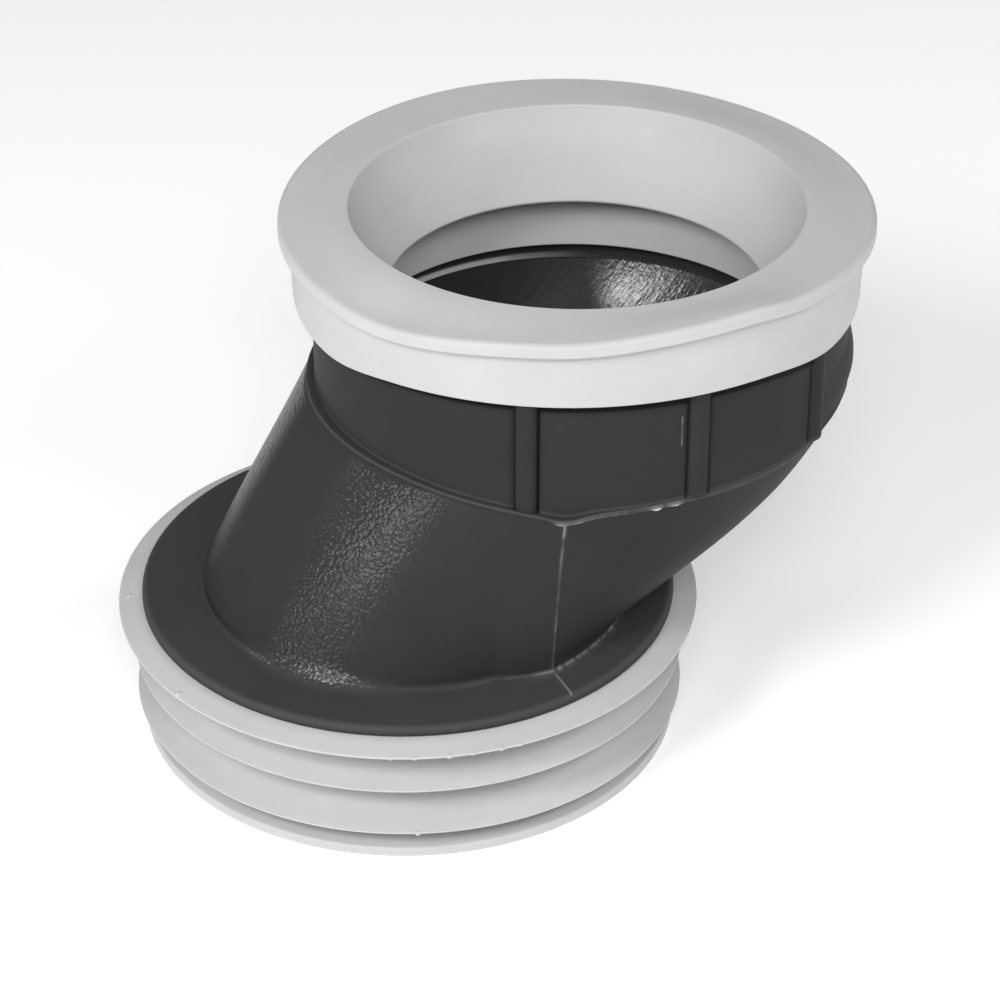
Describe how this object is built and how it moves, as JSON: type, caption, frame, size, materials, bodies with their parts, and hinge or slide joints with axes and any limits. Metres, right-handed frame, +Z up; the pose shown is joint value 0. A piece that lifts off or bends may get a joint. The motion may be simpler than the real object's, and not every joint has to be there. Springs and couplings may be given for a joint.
{
  "type": "toilet pan connector",
  "caption": "Offset toilet pan connector: ribbed plastic inlet socket, slanting throat and flanged spigot, with a lipped rubber seal in the socket and a finned rubber seal on the spigot.",
  "frame": {"origin": "on the outlet axis, at the foot of the outlet seal", "axes": "+Z up, from the outlet towards the inlet; +X from the outlet axis towards the inlet axis"},
  "size_m": [0.1662, 0.1264, 0.115],
  "materials": {
    "dark_plastic": "satin, dark grey, moulded",
    "grey_rubber": "matte, light grey, moulded"
  },
  "bodies": {
    "root": {"body": "dark_plastic", "inlet_seal": "grey_rubber", "outlet_seal": "grey_rubber"}
  },
  "joints": []
}
